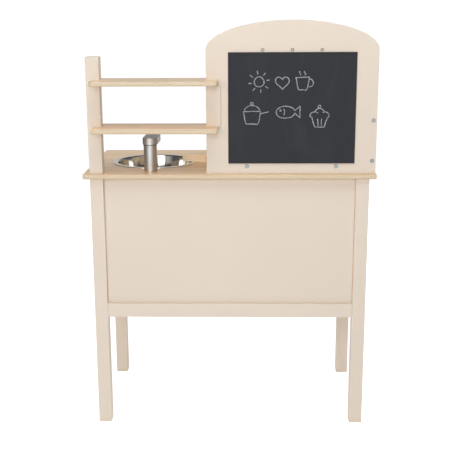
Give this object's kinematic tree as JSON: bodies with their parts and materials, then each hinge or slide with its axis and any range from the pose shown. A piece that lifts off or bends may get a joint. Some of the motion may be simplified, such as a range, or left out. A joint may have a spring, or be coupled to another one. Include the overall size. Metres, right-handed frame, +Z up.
{
  "type": "toy kitchen",
  "caption": "Free-standing painted wooden play kitchen with oven door, cupboard, sink, tap, turning knobs, open shelves and an arched chalkboard back.",
  "frame": {"origin": "on the floor, at the centre of the outline seen from above", "axes": "+Z up; the doors face -Y, towards the child; the chalkboard faces +Y; +X is to the child's right, on the sink's side"},
  "size_m": [0.6, 0.38, 0.8575],
  "materials": {
    "painted_wood": "satin warm beige paint over pine and plywood",
    "birch_ply": "clear matt lacquer, ply layers on the edges",
    "pine": "clear matt lacquer",
    "chalkboard_paint": "matt chalkboard paint",
    "clear_acrylic": "clear",
    "polished_steel": "polished",
    "satin_silver": "satin",
    "plain_steel": "ground",
    "zinc_plate": "zinc plated",
    "wire_chrome": "bright wire",
    "hob_black": "satin black paint",
    "brushed_ring": "brushed",
    "catch_plastic": "moulded"
  },
  "bodies": {
    "kitchen": {"arch_batten": "pine", "arch_board": "painted_wood", "arch_screws": "zinc_plate", "base_board": "birch_ply", "chalkboard": "chalkboard_paint", "cupboard_catch": "catch_plastic", "cupboard_pivot_pins": "plain_steel", "cupboard_shelf": "birch_ply", "divider": "birch_ply", "door_stops": "pine", "front_bottom_rail": "painted_wood", "front_fascia": "painted_wood", "front_leg_left": "painted_wood", "front_leg_right": "painted_wood", "front_stile": "painted_wood", "hob_plate_left": "hob_black", "hob_plate_right": "hob_black", "hob_ring_left": "brushed_ring", "hob_ring_right": "brushed_ring", "knob_spindles": "plain_steel", "lower_shelf": "birch_ply", "oven_catch": "catch_plastic", "oven_cleats": "pine", "oven_pivot_pins": "plain_steel", "oven_rack": "wire_chrome", "rear_bottom_rail": "painted_wood", "rear_leg_left": "painted_wood", "rear_leg_right": "painted_wood", "rear_panel": "painted_wood", "shelf_cleats": "pine", "shelf_post": "painted_wood", "shelf_spacer": "painted_wood", "side_cheek": "painted_wood", "side_panel_left": "painted_wood", "side_panel_right": "painted_wood", "side_rail_left": "painted_wood", "side_rail_right": "painted_wood", "sink_bowl": "polished_steel", "sink_drain": "polished_steel", "splash_rail": "pine", "tap_column": "satin_silver", "tap_pin": "plain_steel", "upper_shelf": "birch_ply", "utensil_pegs": "pine", "worktop": "birch_ply", "worktop_cleats": "pine"},
    "oven_door": {"oven_door": "painted_wood", "oven_window": "clear_acrylic", "window_bead": "painted_wood", "oven_handle": "pine", "oven_strike": "plain_steel"},
    "cupboard_door": {"cupboard_door": "painted_wood", "cupboard_knob": "pine", "cupboard_strike": "plain_steel"},
    "tap_head": {"tap_head": "satin_silver"},
    "oven_knob_1": {"oven_knob_1": "pine"},
    "oven_knob_2": {"oven_knob_2": "pine"},
    "oven_knob_3": {"oven_knob_3": "pine"},
    "hob_knob_1": {"hob_knob_1": "pine"},
    "hob_knob_2": {"hob_knob_2": "pine"}
  },
  "joints": [
    {"name": "oven_door_drop", "type": "hinge", "parent": "kitchen", "child": "oven_door", "pos_m": [-0.1195, -0.156, 0.29], "axis": [1, 0, 0], "range_deg": [0, 90]},
    {"name": "cupboard_door_swing", "type": "hinge", "parent": "kitchen", "child": "cupboard_door", "pos_m": [0.25, -0.156, 0.38], "axis": [0, 0, 1], "range_deg": [0, 110]},
    {"name": "tap_head_swivel", "type": "hinge", "parent": "kitchen", "child": "tap_head", "pos_m": [0.1645, 0.104, 0.612], "axis": [0, 0, 1], "continuous": true},
    {"name": "oven_knob_1_turn", "type": "hinge", "parent": "kitchen", "child": "oven_knob_1", "pos_m": [-0.1195, -0.17, 0.515], "axis": [0, -1, 0], "continuous": true},
    {"name": "oven_knob_2_turn", "type": "hinge", "parent": "kitchen", "child": "oven_knob_2", "pos_m": [-0.0695, -0.17, 0.515], "axis": [0, -1, 0], "continuous": true},
    {"name": "oven_knob_3_turn", "type": "hinge", "parent": "kitchen", "child": "oven_knob_3", "pos_m": [-0.0195, -0.17, 0.515], "axis": [0, -1, 0], "continuous": true},
    {"name": "hob_knob_1_turn", "type": "hinge", "parent": "kitchen", "child": "hob_knob_1", "pos_m": [-0.2195, -0.17, 0.515], "axis": [0, -1, 0], "continuous": true},
    {"name": "hob_knob_2_turn", "type": "hinge", "parent": "kitchen", "child": "hob_knob_2", "pos_m": [-0.1695, -0.17, 0.515], "axis": [0, -1, 0], "continuous": true}
  ]
}
